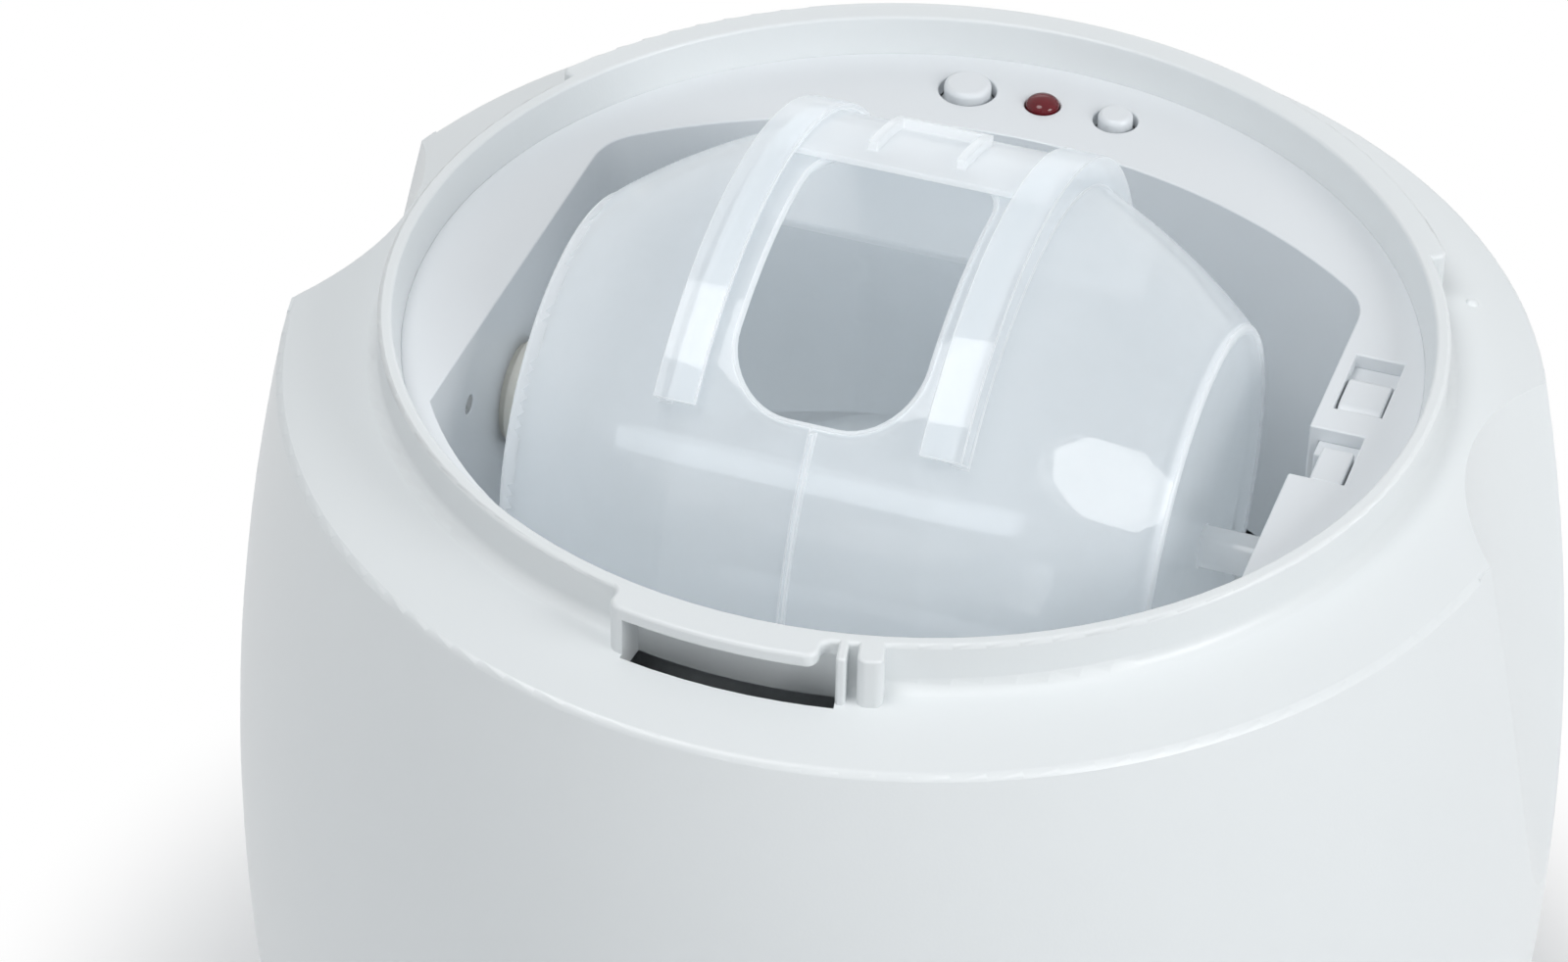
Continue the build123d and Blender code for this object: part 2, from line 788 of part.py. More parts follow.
def tact_switches():
    switches = []
    for x in (power_x, pairing_x):
        half = tact_size / 2
        body = block(x - half, x + half, control_y - half, control_y + half, board_top, tact_top)
        bore = rod_z(tact_stem_radius + shaft_play, x, control_y, tact_top - tact_bore_depth, tact_top)
        switches.append(body - bore)
    return switches


lamp_foot = deck_z - lamp_height


def status_lamp():
    lamp = rod_z(lamp_radius, 0, control_y, lamp_foot, deck_z)
    lamp += Pos(0, control_y, deck_z) * Sphere(lamp_radius)
    return lamp + rod_z(lamp_radius + lamp_base, 0, control_y, lamp_foot - lamp_base_thickness, lamp_foot)


def lamp_legs():
    low, high = board_top - board_thickness, lamp_foot - lamp_base_thickness
    return [rod_z(lamp_leg_radius, side * lamp_leg_pitch, control_y, low, high) for side in (1, -1)]


def button_board():
    half_depth = button_board_depth / 2
    board = block(-button_board_half, button_board_half, control_y - half_depth, control_y + half_depth,
                  board_top - board_thickness, board_top)
    for x in (board_post_x, -board_post_x):
        board -= hole_z(x, control_y, board_top - board_thickness, board_top)
    for side in (1, -1):
        board -= rod_z(lamp_leg_radius + shaft_play, side * lamp_leg_pitch, control_y,
                       board_top - board_thickness, board_top)
    return board


def board_screws():
    seat = board_top - board_thickness
    length = deck_under - seat - screw_head
    return [screw_z(x, control_y, seat, length) for x in (board_post_x, -board_post_x)]


# Gear train
def gear(teeth, plane, axis_z, tooth_towards):
    # Involute spur gear about X, one tooth centred on the direction tooth_towards, from +Y up to +Z
    pitch = gear_module * teeth / 2
    base = pitch * cos(radians(pressure_angle))
    tip = pitch + tooth_addendum * gear_module
    root = pitch - tooth_dedendum * gear_module
    pressure = radians(pressure_angle)
    base_half = pi / (2 * teeth) - backlash / (2 * pitch) + tan(pressure) - pressure
    flank_start = max(root, base)
    flank = [(root, base_half)] if root < base else []
    for step in range(flank_steps + 1):
        radius = flank_start + (tip - flank_start) * step / flank_steps
        roll = sqrt(max((radius / base) ** 2 - 1, 0))
        flank.append((radius, base_half - roll + atan(roll)))
    outline = []
    for tooth in range(teeth):
        middle = 2 * pi * tooth / teeth
        for side, edge in ((-1, flank), (1, reversed(flank))):
            for radius, half in edge:
                turn = middle + side * half
                outline.append((radius * cos(turn), radius * sin(turn)))
    wheel = extrude(make_face(Polyline(*outline, close=True)), gear_width)
    place = Plane(origin=(plane - gear_width, drum_y, axis_z), x_dir=(0, 1, 0), z_dir=(1, 0, 0))
    return place * (Rot(0, 0, tooth_towards) * wheel)


down = -90.0
gap_up = 90.0 + 180.0 / small_teeth


def idler_gear(stage):
    # Large wheel of one plane and small wheel of the next, on one hub
    axis_z = gear_axes[3 - stage]
    hub = rod_x(gear_hub_radius, gear_planes[0], cover_inner + gear_gap, drum_y, axis_z)
    wheel = hub + gear(large_teeth, gear_planes[stage - 1], axis_z, down)
    wheel += gear(small_teeth, gear_planes[stage], axis_z, gap_up)
    return wheel - rod_x(pin_radius + shaft_play, plate_outer, cover_inner, drum_y, axis_z)


def gear_pins():
    return [rod_x(pin_radius, cover_outer, -well_outer, drum_y, axis_z) for axis_z in gear_axes[1:3]]


def output_gear():
    wheel = gear(large_teeth, gear_planes[2], drum_z, down)
    return wheel - rod_x(shaft_radius + screw_play, cover_inner, plate_outer, drum_y, drum_z)


def drive_shaft():
    shaft = rod_x(shaft_radius, cover_outer, dog_back, drum_y, drum_z)
    shaft += rod_x(dog_radius, dog_back, dog_face, drum_y, drum_z)
    half_thick, half_wide = dog_blade / 2, dog_blade_width / 2
    return shaft + block(dog_face, dog_face + dog_blade_length, drum_y - half_thick, drum_y + half_thick,
                         drum_z - half_wide, drum_z + half_wide)


def drive_bush():
    bush = rod_x(drive_bush_radius - screw_play, plate_outer, -well_half_width, drum_y, drum_z)
    bush += rod_x(drive_bush_flange, -well_half_width, bush_face, drum_y, drum_z)
    return bush - rod_x(shaft_radius + shaft_play, plate_outer, bush_face, drum_y, drum_z)


def gearbox_slab(x0, x1):
    slab = block(x0, x1, drum_y - gearbox_half, drum_y + gearbox_half, gearbox_low, gearbox_high)
    slab = fillet(slab.edges().filter_by(Axis.X), gearbox_corner)
    for axis_z in gear_axes[1:3]:
        slab -= rod_x(pin_radius + screw_play, x0, x1, drum_y, axis_z)
    return slab


motor_z = gear_axes[3]
motor_face = -well_outer
motor_screw_ys = (drum_y - motor_screw_spread, drum_y + motor_screw_spread)
motor_screw_seat = plate_outer + plate_thickness / 2


def gearbox_plate():
    plate = gearbox_slab(plate_outer, -well_outer)
    plate -= rod_x(drive_bush_radius, plate_outer, -well_outer, drum_y, drum_z)
    plate -= rod_x(2 * motor_shaft_radius, plate_outer, -well_outer, drum_y, motor_z)
    for y in motor_screw_ys:
        plate -= rod_x(motor_screw_radius + screw_play, plate_outer, -well_outer, y, motor_z)
        plate -= rod_x(motor_screw_head + screw_play, plate_outer, motor_screw_seat, y, motor_z)
    for y, z in gearbox_posts:
        plate -= rod_x(screw_radius + screw_play, plate_outer, -well_outer, y, z)
    return plate


def gearbox_cover():
    cover = gearbox_slab(cover_outer, cover_inner)
    for y, z in gearbox_posts:
        cover += rod_x(gearbox_post_radius, cover_inner, plate_outer, y, z)
    for y, z in gearbox_posts:
        cover -= rod_x(screw_radius + screw_play, cover_outer, plate_outer, y, z)
    return cover - rod_x(shaft_radius + shaft_play, cover_outer, cover_inner, drum_y, drum_z)


def gearbox_screws():
    screws = []
    for y, z in gearbox_posts:
        tip = -well_half_width - fixed_play if z > well_bottom else -well_outer
        head = rod_x(screw_head_radius, cover_outer - screw_head, cover_outer, y, z)
        screws.append(head + rod_x(screw_radius, cover_outer, tip, y, z))
    return screws


def motor():
    can = rod_x(motor_radius, motor_face, motor_face + motor_length, drum_y, motor_z)
    can &= block(motor_face, motor_face + motor_length, drum_y - motor_radius, drum_y + motor_radius,
                 motor_z - motor_flat, motor_z + motor_flat)
    shaft_end = motor_face + motor_shaft_depth
    can -= rod_x(motor_shaft_radius + shaft_play, motor_face, shaft_end, drum_y, motor_z)
    screw_end = motor_face + motor_screw_length
    for y in motor_screw_ys:
        can -= rod_x(motor_screw_radius + screw_play, motor_face, screw_end, y, motor_z)
    return can


def motor_shaft():
    inner_end = motor_face + motor_shaft_depth - moving_play
    return rod_x(motor_shaft_radius, gear_planes[0] - gear_width, inner_end, drum_y, motor_z)


def motor_pinion():
    bore = rod_x(motor_shaft_radius + screw_play / 2, cover_inner, plate_outer, drum_y, motor_z)
    return gear(small_teeth, gear_planes[0], motor_z, gap_up) - bore


def motor_screws():
    screws = []
    tip = motor_face + motor_screw_length - moving_play
    for y in motor_screw_ys:
        shank = rod_x(motor_screw_radius, motor_screw_seat, tip, y, motor_z)
        screws.append(rod_x(motor_screw_head, plate_outer, motor_screw_seat, y, motor_z) + shank)
    return screws


# Funnel, chute and bowl
def funnel_cone(grow):
    top_y = (well_back - well_front_radius) / 2
    top = Rectangle(2 * (well_half_width + grow), well_back + well_front_radius + 2 * grow)
    low_y = (funnel_front + funnel_back) / 2
    low = Rectangle(2 * (funnel_half_width + grow), funnel_back - funnel_front + 2 * grow)
    return loft([(Pos(0, low_y, funnel_bottom) * low).face(), (Pos(0, top_y, well_bottom) * top).face()])


def treat_funnel():
    column = Pos(0, 0, funnel_bottom) * extrude(well_outside, well_bottom - funnel_bottom)
    skirt = Pos(0, 0, well_bottom - funnel_skirt) * extrude(well_outside - well, funnel_skirt)
    return (funnel_cone(funnel_wall) & column) + skirt - funnel_cone(0)


chute_front = -barrel_radius
chute_top_front = sill_height + outlet_height


def chute_floor(y):
    return sill_height + (chute_floor_back - sill_height) * (y - chute_front) / (funnel_back - chute_front)


def treat_chute():
    wall = chute_wall
    outside = [
        (funnel_back + wall, funnel_bottom),
        (funnel_back + wall, chute_floor(funnel_back) - wall),
        (chute_front, sill_height - wall),
        (chute_front, chute_top_front + wall),
        (funnel_front - wall, funnel_bottom),
    ]
    inside = [
        (funnel_back, funnel_bottom + wall),
        (funnel_back, chute_floor(funnel_back)),
        (chute_front - wall, chute_floor(chute_front - wall)),
        (chute_front - wall, chute_top_front),
        (chute_front, chute_top_front),
        (funnel_front, funnel_bottom),
        (funnel_front, funnel_bottom + wall),
    ]
    half = funnel_half_width
    chute = prism_x(outside, -half - wall, half + wall)
    for side in (1, -1):
        edge = side * (half + wall)
        chute += block(edge - side * chute_leg, edge, chute_leg_y, chute_leg_y + chute_leg, base_top,
                       chute_floor(chute_leg_y))
    chute -= prism_x(inside, -half, half)
    return chute & barrel_solid(casing_wall + fixed_play, shoulder_z)


def treat_bowl():
    top = bowl_lift + bowl_height
    bowl = rod_z(bowl_radius, 0, bowl_y, bowl_lift, top)
    bowl = fillet(bowl.edges().group_by(Axis.Z)[0], bowl_round)
    below_casing = rod_z(barrel_at(casing_bottom) + bowl_gap, 0, 0, 0, casing_bottom)
    bowl -= barrel_solid(-bowl_gap, shoulder_z) + below_casing
    room = rod_z(bowl_radius - bowl_wall, 0, bowl_y, bowl_lift + bowl_wall, rim_height)
    room = fillet(room.edges().group_by(Axis.Z)[0], bowl_round)
    bowl -= room - barrel_solid(-bowl_gap - bowl_wall, shoulder_z)
    back = -barrel_at(hook_z) - bowl_gap - bowl_wall / 2
    half_w, half_h = hook_width / 2, hook_height / 2
    for x in (hook_x, -hook_x):
        bowl += block(x - half_w, x + half_w, back, back + hook_length, hook_z - half_h, hook_z + half_h)
    return bowl


# Base, feet and batteries
cell_ys = [cell_first_y + cell_pitch * index for index in range(cell_count)]
door_top = foot_height + door_plate
cell_z = door_top + cell_play + cell_radius
tray_half = (cell_body + cell_nub) / 2 + cell_room
tray_front = cell_ys[0] - cell_radius - cell_play
tray_back = cell_ys[-1] + cell_radius + cell_play
tray_top = cell_z + cell_radius + cell_play
door_screw_y = tray_front - door_ledge - door_tab_reach / 2


def battery_door_outline(grow):
    half = tray_half + door_ledge + grow
    low, high = tray_front - door_ledge - grow, tray_back + door_ledge + grow
    plate = Pos(0, (low + high) / 2) * Rectangle(2 * half, high - low)
    return plate + Pos(0, door_screw_y) * Circle(door_tab_radius + grow)


def base_plate():
    plate = rod_z(base_plate_radius, 0, 0, foot_height, base_top)
    outer = tray_half + tray_wall
    plate += block(-outer, outer, tray_front - tray_wall, tray_back + tray_wall, foot_height,
                   tray_top + tray_wall)
    plate += rod_z(boss_radius, 0, door_screw_y, base_top, door_top + door_boss_height)
    for x, y in board_posts:
        plate += rod_z(board_post_radius, x, y, base_top, base_top + board_lift)
    ring_inner = speaker_radius + fixed_play
    ring_top = base_top + speaker_ring_height
    ring = rod_z(ring_inner + speaker_ring, speaker_x, speaker_y, base_top, ring_top)
    plate += ring - rod_z(ring_inner, speaker_x, speaker_y, base_top, ring_top)
    plate -= block(-tray_half, tray_half, tray_front, tray_back, foot_height, tray_top)
    plate -= Pos(0, 0, foot_height) * extrude(battery_door_outline(fixed_play), door_plate)
    plate -= hole_z(0, door_screw_y, door_top, door_top + door_boss_height - screw_head)
    for angle in quarters:
        x, y = polar(base_boss_radius, angle)
        plate -= hole_z(x, y, foot_height, base_top)
        plate -= rod_z(screw_head_radius + screw_play, x, y, foot_height, foot_height + screw_head)
        x, y = polar(foot_place, angle)
        plate -= rod_z(foot_peg_radius + screw_play, x, y, foot_height, base_top)
    for x, y in board_posts:
        plate -= hole_z(x, y, base_top, base_top + board_lift)
    plate -= rod_z(grille_hole, speaker_x, speaker_y, foot_height, base_top)
    for index in range(grille_count):
        x, y = polar(grille_ring, 360 * index / grille_count)
        plate -= rod_z(grille_hole, speaker_x + x, speaker_y + y, foot_height, base_top)
    return plate


def base_screws():
    seat = foot_height + screw_head
    return [screw_z(*polar(base_boss_radius, angle), seat, base_screw_length) for angle in quarters]


def rubber_feet():
    feet = []
    for angle in quarters:
        x, y = polar(foot_place, angle)
        pad = fillet(rod_z(foot_radius, x, y, 0, foot_height).edges().group_by(Axis.Z)[0], rim_round)
        feet.append(pad + rod_z(foot_peg_radius, x, y, foot_height, base_top))
    return feet


def battery_door():
    door = Pos(0, 0, foot_height) * extrude(battery_door_outline(0), door_plate)
    seat = foot_height + screw_head
    door -= hole_z(0, door_screw_y, foot_height, door_top)
    return door - rod_z(screw_head_radius + screw_play, 0, door_screw_y, foot_height, seat)


def battery_door_screw():
    return screw_z(0, door_screw_y, foot_height + screw_head, door_boss_height - screw_head)


def cell_ends(index):
    # x of the flat end, of the nub's root and of its tip; cells point left and right in turn
    way = 1 if index % 2 else -1
    half = (cell_body + cell_nub) / 2
    return -way * half, way * (half - cell_nub), way * half


def batteries():
    cells = []
    for index, y in enumerate(cell_ys):
        flat, root, tip = cell_ends(index)
        nub = rod_x(cell_nub_radius, root, tip, y, cell_z)
        cells.append(rod_x(cell_radius, flat, root, y, cell_z) + nub)
    return cells


def battery_contacts():
    # One plate at each end of each cell, with a raised button where the cell's nub bears
    plates = []
    for index, y in enumerate(cell_ys):
        flat, root, tip = cell_ends(index)
        for side in (1, -1):
            wall = side * tray_half
            plate = block(wall - side * contact_thickness, wall, y - contact_half, y + contact_half,
                          cell_z - contact_half, cell_z + contact_half)
            if side * tip > 0:
                plate += rod_x(cell_nub_radius, tip, wall, y, cell_z)
            plates.append(plate)
    return plates


def battery_springs():
    springs = []
    for index, y in enumerate(cell_ys):
        flat, root, tip = cell_ends(index)
        way = 1 if flat > 0 else -1
        length = tray_half - contact_thickness - abs(flat)
        cone = Cone(spring_tip_radius, spring_radius, length)
        springs.append(Pos(flat + way * length / 2, y, cell_z) * Rot(0, way * 90, 0) * cone)
    return springs


# Main board and speaker
board_posts = [
    (x, y)
    for x in (board_inner + board_inset, board_outer - board_inset)
    for y in (board_front + board_inset, board_back - board_inset)
]
main_board_z = base_top + board_lift


def main_board():
    board = block(board_inner, board_outer, board_front, board_back, main_board_z,
                  main_board_z + board_thickness)
    for x, y in board_posts:
        board -= hole_z(x, y, main_board_z, main_board_z + board_thickness)
    return board


def main_board_screws():
    seat = main_board_z + board_thickness
    return [screw_z(x, y, seat, board_screw_length, -1) for x, y in board_posts]


def board_parts():
    # Processor, radio can, driver chip, plug header and two upright capacitors
    floor = main_board_z + board_thickness
    middle = (board_inner + board_outer) / 2
    parts = []
    for x, y, width, depth, height in chip_sizes:
        parts.append(block(middle + x - width / 2, middle + x + width / 2, y - depth / 2, y + depth / 2,
                           floor, floor + height))
    for y in capacitor_ys:
        parts.append(rod_z(capacitor_radius, middle + capacitor_x, y, floor, floor + capacitor_height))
    return parts


def speaker():
    frame = rod_z(speaker_radius, speaker_x, speaker_y, base_top, base_top + speaker_height)
    magnet_top = base_top + speaker_height + speaker_magnet_height
    return frame + rod_z(speaker_magnet, speaker_x, speaker_y, base_top + speaker_height, magnet_top)


pieces = {
    "outer_casing": outer_casing(),
    "well_tub": well_tub(),
    "well_screws": well_screws(),
    "drum_left_half": drum_half(-1),
    "drum_right_half": drum_half(1),
    "drum_hub": drum_hub(),
    "drum_door": drum_door(),
    "agitator_fins": agitator_fins(),
    "axle_bush": axle_bush(),
    "axle_spring_arm": axle_spring_arm(),
    "arm_pin": arm_pin(),
    "lid_switch_plunger": lid_switch_plunger(),
    "lid_switch": lid_switch(),
    "lid_switch_stem": lid_switch_stem(),
    "power_button": button(power_x, power_radius),
    "pairing_button": button(pairing_x, pairing_radius),
    "power_switch_stem": switch_stem(power_x),
    "pairing_switch_stem": switch_stem(pairing_x),
    "tact_switches": tact_switches(),
    "status_lamp": status_lamp(),
    "lamp_legs": lamp_legs(),
    "button_board": button_board(),
    "board_screws": board_screws(),
    "output_gear": output_gear(),
    "upper_idler_gear": idler_gear(2),
    "lower_idler_gear": idler_gear(1),
    "gear_pins": gear_pins(),
    "drive_shaft": drive_shaft(),
    "drive_bush": drive_bush(),
    "gearbox_plate": gearbox_plate(),
    "gearbox_cover": gearbox_cover(),
    "gearbox_screws": gearbox_screws(),
    "motor": motor(),
    "motor_shaft": motor_shaft(),
    "motor_pinion": motor_pinion(),
    "motor_screws": motor_screws(),
    "treat_funnel": treat_funnel(),
    "treat_chute": treat_chute(),
    "treat_bowl": treat_bowl(),
    "base_plate": base_plate(),
    "base_screws": base_screws(),
    "rubber_feet": rubber_feet(),
    "battery_door": battery_door(),
    "battery_door_screw": battery_door_screw(),
    "batteries": batteries(),
    "battery_contacts": battery_contacts(),
    "battery_springs": battery_springs(),
    "main_board": main_board(),
    "main_board_screws": main_board_screws(),
    "board_parts": board_parts(),
    "speaker": speaker(),
}

os.makedirs("parts", exist_ok=True)
for name, piece in pieces.items():
    shape = Compound(children=piece) if isinstance(piece, list) else piece
    export_step(shape, f"parts/{name}.step")
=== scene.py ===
import bpy
import bmesh
import json
import math
from mathutils import Matrix, Vector
from mathutils.bvhtree import BVHTree

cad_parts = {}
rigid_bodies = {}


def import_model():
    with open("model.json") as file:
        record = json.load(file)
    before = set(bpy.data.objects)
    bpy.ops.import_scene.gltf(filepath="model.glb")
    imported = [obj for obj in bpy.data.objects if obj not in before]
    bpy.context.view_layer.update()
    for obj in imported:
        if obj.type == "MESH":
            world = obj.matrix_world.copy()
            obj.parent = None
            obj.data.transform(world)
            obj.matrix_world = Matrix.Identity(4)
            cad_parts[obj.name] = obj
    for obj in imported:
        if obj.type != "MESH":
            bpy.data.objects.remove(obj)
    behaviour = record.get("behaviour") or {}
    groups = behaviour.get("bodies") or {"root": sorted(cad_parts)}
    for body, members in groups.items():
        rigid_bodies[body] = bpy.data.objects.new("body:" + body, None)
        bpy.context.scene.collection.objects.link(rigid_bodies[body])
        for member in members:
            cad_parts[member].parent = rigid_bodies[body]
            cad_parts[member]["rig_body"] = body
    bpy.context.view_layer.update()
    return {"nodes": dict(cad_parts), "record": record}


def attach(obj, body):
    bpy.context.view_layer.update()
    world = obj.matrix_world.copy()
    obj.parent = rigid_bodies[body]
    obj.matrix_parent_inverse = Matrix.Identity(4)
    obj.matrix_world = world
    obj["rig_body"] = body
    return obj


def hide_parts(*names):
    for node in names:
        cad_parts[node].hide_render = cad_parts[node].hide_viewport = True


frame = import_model()
nodes = frame["nodes"]
slotOf = {part["node"]: part["material_slot"] for part in frame["record"]["subparts"]}
scene = bpy.context.scene
mm = 0.001


# shader maths: a socket that takes part in plain expressions
class Wire:
    def __init__(self, graph, socket):
        self.graph = graph
        self.socket = socket

    def maths(self, operation, first, second):
        made = self.graph.node("ShaderNodeMath", {"operation": operation}, {0: first, 1: second})
        return self.graph.wire(made)

    def __add__(self, other):
        return self.maths("ADD", self, other)

    def __radd__(self, other):
        return self.maths("ADD", other, self)

    def __sub__(self, other):
        return self.maths("SUBTRACT", self, other)

    def __rsub__(self, other):
        return self.maths("SUBTRACT", other, self)

    def __mul__(self, other):
        return self.maths("MULTIPLY", self, other)

    def __rmul__(self, other):
        return self.maths("MULTIPLY", other, self)

    def __pow__(self, other):
        return self.maths("POWER", self, other)

    def __abs__(self):
        return self.maths("ABSOLUTE", self, 0.0)


# node tree of a material, a lamp or the world
class Graph:
    def __init__(self, owner):
        owner.use_nodes = True
        self.tree = owner.node_tree
        self.tree.nodes.clear()

    def node(self, kind, settings=None, sockets=None):
        made = self.tree.nodes.new(kind)
        for key, value in (settings or {}).items():
            setattr(made, key, value)
        self.feed(made, sockets or {})
        return made

    def wire(self, made, output=0):
        return Wire(self, made.outputs[output])

    def feed(self, made, sockets):
        for key, value in sockets.items():
            if isinstance(value, Wire):
                self.tree.links.new(value.socket, made.inputs[key])
            else:
                made.inputs[key].default_value = value

    def layer(self, share, under, over):
        return self.node("ShaderNodeMixShader", None, {
            0: share, 1: self.wire(under), 2: self.wire(over)})

    # one where the camera, a reflection or a clear wall looks, nought for light that falls
    def seenRays(self):
        path = self.node("ShaderNodeLightPath")
        seen = self.wire(path, "Is Camera Ray")
        for ray in ("Is Glossy Ray", "Is Transmission Ray"):
            seen = seen.maths("MAXIMUM", seen, self.wire(path, ray))
        return seen


class Finish(Graph):
    def __init__(self, name):
        self.material = bpy.data.materials.new(name)
        super().__init__(self.material)
        self.shader = self.node("ShaderNodeBsdfPrincipled")
        self.output = self.node("ShaderNodeOutputMaterial", None, {"Surface": self.wire(self.shader)})
        self.place = self.wire(self.node("ShaderNodeTexCoord"), "Object")

    def set(self, **sockets):
        names = {key.replace("_", " "): value for key, value in sockets.items()}
        self.feed(self.shader, names)

    def noise(self, size, detail=2.0, place=None):
        made = self.node("ShaderNodeTexNoise", None,
                         {"Vector": place or self.place, "Scale": 1 / size, "Detail": detail})
        return self.wire(made, "Fac")

    def mix(self, share, first, second):
        made = self.node("ShaderNodeMix", {"data_type": "RGBA"}, {0: share, 6: first, 7: second})
        return self.wire(made, 2)

    # from a darker shade of a colour up to the colour itself
    def shades(self, share, colour, darkest):
        return self.mix(share, [c * darkest for c in colour] + [1.0], [*colour, 1.0])

    def show(self, layered):
        self.feed(self.output, {"Surface": self.wire(layered)})

    def bump(self, height, distance):
        made = self.node("ShaderNodeBump", None, {"Height": height, "Distance": distance, "Strength": 1.0})
        self.set(Normal=self.wire(made))


plasticIor = 1.5
glossSwing = {"drift": 0.06, "grain": 0.08}


# moulded plastic: fine spark grain, slow drift of colour and gloss
def mouldedPlastic(name, colour, look):
    finish = Finish(name)
    drift = finish.noise(look["drift"], 3.0)
    grain = finish.noise(look["grain"])
    finish.set(
        Base_Color=finish.shades(drift, colour, 1 - look["shade"]),
        Roughness=look["rough"] + (drift - 0.5) * glossSwing["drift"] + (grain - 0.5) * glossSwing["grain"],
        IOR=plasticIor,
    )
    finish.bump(grain, look["grainDepth"])
    return finish


# frosted polypropylene: hazy body, light that passes through, thin glossy skin, faint flow lines, and a
# faint painted glow that stands in for light scattered inside the walls
# glow: strength of a painted glow, an even emission in place of light scattered through the frosted walls
frostLook = {
    "cloud": 0.02, "shade": 0.97, "rough": 0.3, "roughSwing": 0.1, "veilSwing": 0.1, "glow": 0.06,
    "flow": 0.0016, "flowStretch": (0.2, 1.0, 1.0), "flowDepth": 0.000006,
    "through": 0.52, "skinRough": 0.03, "gloss": 0.02, "rimGloss": 0.4, "rimPower": 5.0,
}


def frostedPlastic(name, haze, colour):
    look = frostLook
    finish = Finish(name)
    cloud = finish.noise(look["cloud"], 3.0)
    along = finish.node("ShaderNodeMapping", None, {"Vector": finish.place, "Scale": look["flowStretch"]})
    flow = finish.noise(look["flow"], 2.0, finish.wire(along))
    veil = haze - look["veilSwing"] / 2 + cloud * look["veilSwing"]
    finish.set(
        Base_Color=finish.shades(cloud, colour, look["shade"]),
        Roughness=look["rough"] + cloud * look["roughSwing"],
        Alpha=veil,
        IOR=plasticIor,
        # painted glow: the plastic emits a little light of its own colour, standing in for light scattered
        # inside the drum
        Emission_Color=(*colour, 1),
        Emission_Strength=look["glow"],
        Specular_IOR_Level=0.0,  # the skin alone shines
    )
    finish.bump(flow, look["flowDepth"])
    clear = finish.node("ShaderNodeBsdfTransparent")
    through = finish.node("ShaderNodeBsdfTranslucent", None, {"Color": (*colour, 1)})
    skin = finish.node("ShaderNodeBsdfAnisotropic", None,
                       {"Color": (1, 1, 1, 1), "Roughness": look["skinRough"]})
    facing = finish.node("ShaderNodeLayerWeight", None, {"Blend": 0.5})
    gloss = look["gloss"] + look["rimGloss"] * finish.wire(facing, "Facing") ** look["rimPower"]
    lit = finish.layer(veil, clear, through)
    milk = finish.layer(look["through"], finish.shader, lit)
    finish.show(finish.layer(gloss, milk, skin))
    return finish


lensLook = {
    "dark": (0.1, 0.001, 0.005, 1), "bright": (0.17, 0.003, 0.011, 1),
    "depth": 0.004, "rough": 0.06, "ior": 1.42,
}


def redLens(name):
    finish = Finish(name)
    depth = finish.noise(lensLook["depth"])
    finish.set(
        Base_Color=finish.mix(depth, lensLook["dark"], lensLook["bright"]),
        Roughness=lensLook["rough"],
        IOR=lensLook["ior"],
    )
    return finish


steelLook = {"brush": 0.0006, "shade": 0.8, "roughSwing": 0.2}


def platedSteel(name, colour, rough):
    finish = Finish(name)
    brush = finish.noise(steelLook["brush"], 4.0)
    finish.set(
        Base_Color=finish.shades(brush, colour, steelLook["shade"]),
        Roughness=rough + (brush - 0.5) * steelLook["roughSwing"],
        Metallic=1.0,
    )
    return finish


# drift and grain are sizes in metres
satin = {"drift": 0.045, "grain": 0.00045, "shade": 0.025, "rough": 0.36, "grainDepth": 0.000012}
fineSatin = {"drift": 0.03, "grain": 0.0004, "shade": 0.03, "rough": 0.32, "grainDepth": 0.000008}
matt = {"drift": 0.02, "grain": 0.0006, "shade": 0.08, "rough": 0.55, "grainDepth": 0.00002}

plastics = {
    "casing_white": ((0.80, 0.83, 0.84), satin),
    "deck_white": ((0.78, 0.81, 0.835), fineSatin),
    "chute_white": ((0.77, 0.80, 0.81), satin),
    "gearbox_grey": ((0.33, 0.35, 0.37), matt),
    "switch_black": ((0.02, 0.02, 0.021), matt),
    "acetal_natural": ((0.75, 0.74, 0.68), fineSatin),
    "board_green": ((0.02, 0.13, 0.05), fineSatin),
    "foot_rubber": ((0.035, 0.035, 0.038), matt),
    "cell_wrap": ((0.05, 0.06, 0.09), fineSatin),
}
finishes = {name: mouldedPlastic(name, *look) for name, look in plastics.items()}
finishes["drum_frosted"] = frostedPlastic("drum_frosted", 0.48, (0.935, 0.97, 0.995))
finishes["lamp_red"] = redLens("lamp_red")
finishes["steel"] = platedSteel("steel", (0.62, 0.62, 0.63), 0.3)
finishes["motor_steel"] = platedSteel("motor_steel", (0.5, 0.5, 0.51), 0.4)
drumEdge = frostedPlastic("drum_frosted_edge", 0.7, (0.945, 0.965, 0.98))
print("materials made")

for node, slot in slotOf.items():
    mesh = nodes[node].data
    mesh.materials.clear()
    mesh.materials.append(finishes[slot].material)
print("frame dressed:", len(nodes), "nodes")


def smoothFaces(bm):
    for face in bm.faces:
        face.smooth = True


def roundEdges(bm, edges, radius, steps, clamp):
    return bmesh.ops.bevel(bm, geom=edges, offset=radius * mm, segments=steps, profile=0.5,
                           affect="EDGES", clamp_overlap=clamp, material=-1)


def levelFaces(bm, angle):
    bmesh.ops.dissolve_limit(bm, angle_limit=math.radians(angle), verts=bm.verts, edges=bm.edges)


def addPiece(name, bm, body, slot, *looks):
    mesh = bpy.data.meshes.new(name)
    bm.to_mesh(mesh)
    bm.free()
    for look in looks:
        mesh.materials.append(look.material)
    piece = bpy.data.objects.new(name, mesh)
    scene.collection.objects.link(piece)
    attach(piece, body)
    return piece


